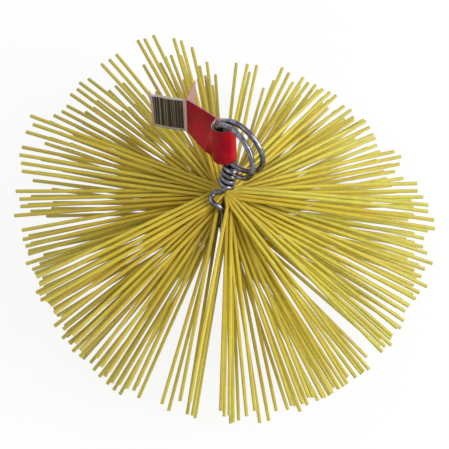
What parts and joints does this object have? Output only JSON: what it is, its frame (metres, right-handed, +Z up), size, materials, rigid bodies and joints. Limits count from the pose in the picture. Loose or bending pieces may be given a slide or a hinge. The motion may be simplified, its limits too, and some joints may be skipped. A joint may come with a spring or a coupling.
{
  "type": "chimney sweep brush",
  "caption": "Star of stiff plastic bristles gripped in a bent wire clasp, with a twisted neck, a two-turn rope eye and a loose label strip.",
  "frame": {"origin": "on the axis of the bristle star, at the level of the tips that it stands on", "axes": "+Z up the axis of the star towards the rope eye; the rope eye opens along Y and its label strip hangs on its -X side"},
  "size_m": [0.2974, 0.2785, 0.1618],
  "materials": {
    "galvanised_wire": "galvanised",
    "bristle_plastic": "satin",
    "printed_label": "satin"
  },
  "bodies": {
    "brush": {"wire": "galvanised_wire", "bristle_layer_01": "bristle_plastic", "bristle_layer_02": "bristle_plastic", "bristle_layer_03": "bristle_plastic", "bristle_layer_04": "bristle_plastic", "bristle_layer_05": "bristle_plastic", "bristle_layer_06": "bristle_plastic", "bristle_layer_07": "bristle_plastic", "bristle_layer_08": "bristle_plastic", "bristle_layer_09": "bristle_plastic", "bristle_layer_10": "bristle_plastic", "bristle_layer_11": "bristle_plastic", "bristle_layer_12": "bristle_plastic", "bristle_layer_13": "bristle_plastic", "bristle_layer_14": "bristle_plastic"},
    "label": {"label_strip": "printed_label"}
  },
  "joints": [
    {"name": "label_turn", "type": "hinge", "parent": "brush", "child": "label", "pos_m": [-0.01391, 0.01297, 0.13362], "axis": [-0.3587, 0.3001, 0.8839], "range_deg": [-45, 45]}
  ]
}
